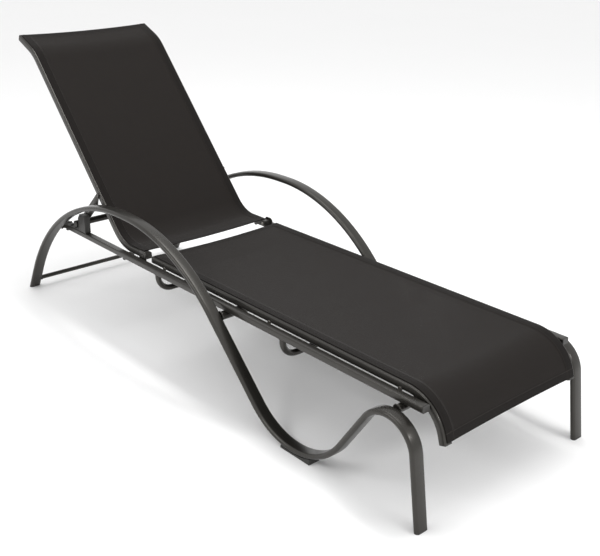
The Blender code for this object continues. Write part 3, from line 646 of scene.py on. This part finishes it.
def straight_bars(paint):
    bars = [("rear_low_crossbar", "frame", True), ("arm_crossbar", "frame", True),
            ("front_crossbar", "frame", True), ("prop_rod", "prop", False)]
    bars += [(f"rear_link_{label}", "frame", True) for label, _ in SIDES]
    for name, body, welded in bars:
        centre = middle(name)
        half = Vector((0, reach(name, 1), 0))
        round_bar(name, centre - half, centre + half, 2 * reach(name, 2), body, paint, welded)


def dropped_bars(paint):
    """The two bars that hang under the seat between the base rails."""
    for place in ("rear", "front"):
        name = f"dropped_crossbar_{place}"
        low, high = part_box(name)
        x = middle(name).x
        y = high[1] - DROP_BAR / 2
        bottom = low[2] + DROP_BAR / 2
        line = [Vector((x, -y, high[2])), Vector((x, -y, bottom)), Vector((x, y, bottom)),
                Vector((x, y, high[2]))]
        piece = disc(DROP_BAR, line[0], X_AXIS, -Z_AXIS)
        follow(line, [DROP_BEND, DROP_BEND])
        fit(set_down(piece), name + "_tube", "frame", paint, [name])
        weld(name + "_bead_right", line[0], Z_AXIS, DROP_BAR, "frame", paint)
        weld(name + "_bead_left", line[-1], Z_AXIS, DROP_BAR, "frame", paint)


def head_bar(paint):
    """The bar at the head of the backrest, bowed back behind the fabric."""
    along = Vector((-math.cos(BACK_HEAD_ANGLE), 0, math.sin(BACK_HEAD_ANGLE)))
    down = Vector((-along.z, 0, along.x))
    end = side_view([back_line()[0][-1]], 0)[0]
    start = end - along * HEAD_BAR_FROM_END + down * HEAD_BAR_SUNK
    bow = Vector((-math.cos(HEAD_BOW_ANGLE), 0, -math.sin(HEAD_BOW_ANGLE)))
    half = RAIL_INNER_Y - PIECE_GAP
    radius = (half * half + HEAD_BOW * HEAD_BOW) / (2 * HEAD_BOW)
    centre = start + bow * (HEAD_BOW - radius)
    turn = math.asin(half / radius) + HEAD_BAR_SPARE
    arm = bow * math.cos(turn) - Y_AXIS * math.sin(turn)
    axis = bow.cross(Y_AXIS)
    way = axis.cross(arm)
    piece = disc(HEAD_BAR, centre + arm * radius, axis, way)
    bpy.ops.mesh.spin(steps=HEAD_BAR_STEPS, angle=-2 * turn, center=centre, axis=axis)
    cut_off(Vector((0, -half, 0)), Y_AXIS)
    cut_off(Vector((0, half, 0)), -Y_AXIS)
    fit(set_down(piece), "head_bar_tube", "backrest", paint, ["head_crossbar"])


def small_parts(paint, plastic, rubber, steel):
    kinds = (
        ("rear_foot_cap", "frame", rubber, 0.0008),
        ("front_foot_cap", "frame", rubber, 0.0008),
        ("mid_foot_pad", "frame", rubber, 0.0012),
        ("rail_bumper_rear", "frame", rubber, 0.0012),
        ("rail_bumper_middle", "frame", rubber, 0.0012),
        ("seat_stud_rear", "frame", steel, 0.0004),
        ("seat_stud_middle", "frame", steel, 0.0004),
        ("seat_stud_front", "frame", steel, 0.0004),
        ("pivot_bolt", "frame", steel, 0.0004),
        ("prop_bolt", "backrest", steel, 0.0004),
        ("rack", "frame", plastic, 0.0011),
        ("pivot_bracket", "frame", paint, 0.0004),
        ("prop_arm", "prop", paint, 0.0005),
        ("rod_cap", "prop", plastic, 0.0008),
    )
    for label, _ in SIDES:
        for name, body, finish, rounding in kinds:
            refined(f"{name}_{label}", body, finish, rounding)


# ---------------------------------------------------------------- slings
def shares(first, last, spacing, least=1):
    """Points from one place towards another about a spacing apart, without the last one."""
    steps = max(least, round((last - first).length / spacing))
    return [first + (last - first) * i / steps for i in range(steps)]


def walked(corners, radii, spacing):
    """Points along straight runs and bends in the side view, each with its direction."""
    corners = [Vector(c) for c in corners]
    ways = [(b - a).normalized() for a, b in zip(corners, corners[1:])]
    found = []
    at = corners[0]
    for corner, radius, way, on in zip(corners[1:], radii, ways, ways[1:]):
        turn = way.angle(on)
        start = corner - way * radius * math.tan(turn / 2)
        found += [(point, way) for point in shares(at, start, spacing)]
        spin = 1 if way.cross(on) > 0 else -1
        centre = start + Vector((-way.y, way.x)) * (spin * radius)
        steps = max(2, round(turn * radius / spacing))
        for i in range(steps):
            turned = Matrix.Rotation(spin * turn * i / steps, 2)
            found.append((centre + turned @ (start - centre), turned @ way))
        at = corner + on * radius * math.tan(turn / 2)
    found += [(point, ways[-1]) for point in shares(at, corners[-1], spacing)]
    found.append((corners[-1], ways[-1]))
    return found


def cloth_places(half):
    """Where the cloth has points across it, closer together at its hems."""
    leaves_rail = half - (RAIL_Y - RAIL_TOP_FLAT)
    hem_ends = [SIDE_HEM + step for step in HEM_EDGE]
    steps = OPEN_CLOTH_STEPS // 2
    inner = [OPEN_CLOTH + (half - OPEN_CLOTH) * i / steps for i in range(steps + 1)]
    from_edge = [*HEM_ROWS, leaves_rail, *SLACK_ROWS, *hem_ends, *inner]
    places = [distance - half for distance in from_edge]
    return places + [-y for y in reversed(places[:-1])]


def cloth_faces(wide, deep):
    """An upper sheet, a lower sheet turned the other way, and the rim that joins them."""
    under = wide * deep
    faces = []
    for i in range(deep - 1):
        for j in range(wide - 1):
            a = i * wide + j
            quad = (a, a + 1, a + wide + 1, a + wide)
            faces.append(quad)
            faces.append(tuple(under + k for k in reversed(quad)))
    rim = [j for j in range(wide)]
    rim += [i * wide + wide - 1 for i in range(1, deep)]
    rim += [(deep - 1) * wide + j for j in range(wide - 2, -1, -1)]
    rim += [i * wide for i in range(deep - 2, 0, -1)]
    for a, b in zip(rim, rim[1:] + rim[:1]):
        faces.append((a, under + a, under + b, b))
    return faces


def sling(name, node, body, line, trims, sag, finish):
    """Cloth stretched between two rails: thicker along its hems, and hanging a little between them."""
    corners, radii = line
    corners = [Vector(c) for c in corners]
    corners[0] = corners[0] + (corners[1] - corners[0]).normalized() * trims[0]
    corners[-1] = corners[-1] + (corners[-2] - corners[-1]).normalized() * trims[1]
    half = RAIL_Y + FABRIC_OVER_RAIL
    open_half = RAIL_Y - RAIL_TOP_FLAT
    over_rail = RAIL_THICK / 2 + HEM_THICK / 2 + FABRIC_OFF_RAIL
    places = cloth_places(half)
    rows = []
    length = 0.0
    before = None
    for point, heading in walked(corners, radii, ROW_SPACING):
        normal = Vector((-heading.y, heading.x))
        if normal.y < 0:
            normal = -normal
        length += (point - before).length if before else 0
        before = point
        rows.append((point, normal, length))
    whole = length
    points = []
    marks = []
    for way in (1, -1):
        for point, normal, length in rows:
            from_end = min(length, whole - length)
            held_by_end = min(1, 0.55 + from_end * 3)
            for y in places:
                from_side = half - abs(y)
                hem = from_side < SIDE_HEM or from_end < END_HEM
                thick = HEM_THICK if hem else FABRIC_THICK
                hang = sag * max(0, 1 - (y / open_half) ** 2) * held_by_end
                at = point + normal * (over_rail - hang + way * thick / 2)
                points.append((FOOT + at.x, y, at.y))
                marks.append((y + half, length, from_side, from_end))
    shape = bpy.data.meshes.new(name)
    shape.from_pydata(points, [], cloth_faces(len(places), len(rows)))
    weave = shape.uv_layers.new(name="weave")
    edges = shape.uv_layers.new(name="edges")
    for loop in shape.loops:
        mark = marks[loop.vertex_index]
        weave.data[loop.index].uv = mark[:2]
        edges.data[loop.index].uv = mark[2:]
    piece = bpy.data.objects.new(name, shape)
    bpy.context.scene.collection.objects.link(piece)
    fit(set_down(piece, 60), name, body, finish, [node])


def slings(cloth):
    back_trims = (RAIL_THICK / 2 + BACK_SLING_LOW, SLING_INSET)
    sling("seat_mesh_sling", "seat_sling", "frame", seat_line(), (SLING_INSET, SLING_INSET), SEAT_SAG,
          cloth)
    sling("back_mesh_sling", "back_sling", "backrest", back_line(), back_trims, BACK_SAG,
          cloth)


# ---------------------------------------------------------------- studio
def studio():
    bpy.ops.mesh.primitive_plane_add(size=FLOOR_SIZE)
    floor = set_down(bpy.context.object)
    floor.name = "studio_floor"
    floor.data.materials.append(pale_floor())
    bpy.context.scene.view_settings.view_transform = "Standard"
    world = bpy.data.worlds.new("studio")
    bpy.context.scene.world = world
    world.use_nodes = True
    backdrop = world.node_tree.nodes["Background"]
    backdrop.inputs["Color"].default_value = (1, 1, 1, 1)
    backdrop.inputs["Strength"].default_value = 1.0
    for name, place, target, size, power in LAMPS:
        light = bpy.data.lights.new(name, "AREA")
        light.shape = "RECTANGLE"
        light.size, light.size_y = size
        light.energy = power
        lamp = bpy.data.objects.new(name, light)
        lamp.location = place
        lamp.rotation_euler = (Vector(target) - Vector(place)).to_track_quat("-Z", "Y").to_euler()
        bpy.context.scene.collection.objects.link(lamp)


def camera():
    lens = bpy.data.cameras.new("camera")
    lens.lens = LENS
    lens.sensor_width = SENSOR
    lens.clip_start = 0.05
    seen = bpy.data.objects.new("camera", lens)
    level = Euler((math.pi / 2 - CAMERA_TILT, 0, CAMERA_AZIMUTH)).to_matrix()
    turned = (level @ Matrix.Rotation(CAMERA_ROLL, 3, "Z")).to_4x4()
    place = (CAMERA_FROM_FOOT + FOOT, CAMERA_SIDE, CAMERA_HEIGHT)
    seen.matrix_world = Matrix.Translation(place) @ turned
    bpy.context.scene.collection.objects.link(seen)
    bpy.context.scene.camera = seen


def build():
    camera()
    studio()
    paint = (graphite_paint(), "frame_paint")
    cloth = (mesh_cloth(), "mesh_fabric")
    plastic = (moulded_plastic(), "dark_plastic")
    rubber = (foot_rubber(), "foot_rubber")
    steel = (bolt_steel(), "bolt_metal")
    side_frames(paint)
    rails(paint, plastic)
    straight_bars(paint)
    dropped_bars(paint)
    head_bar(paint)
    small_parts(paint, plastic, rubber, steel)
    slings(cloth)


build()
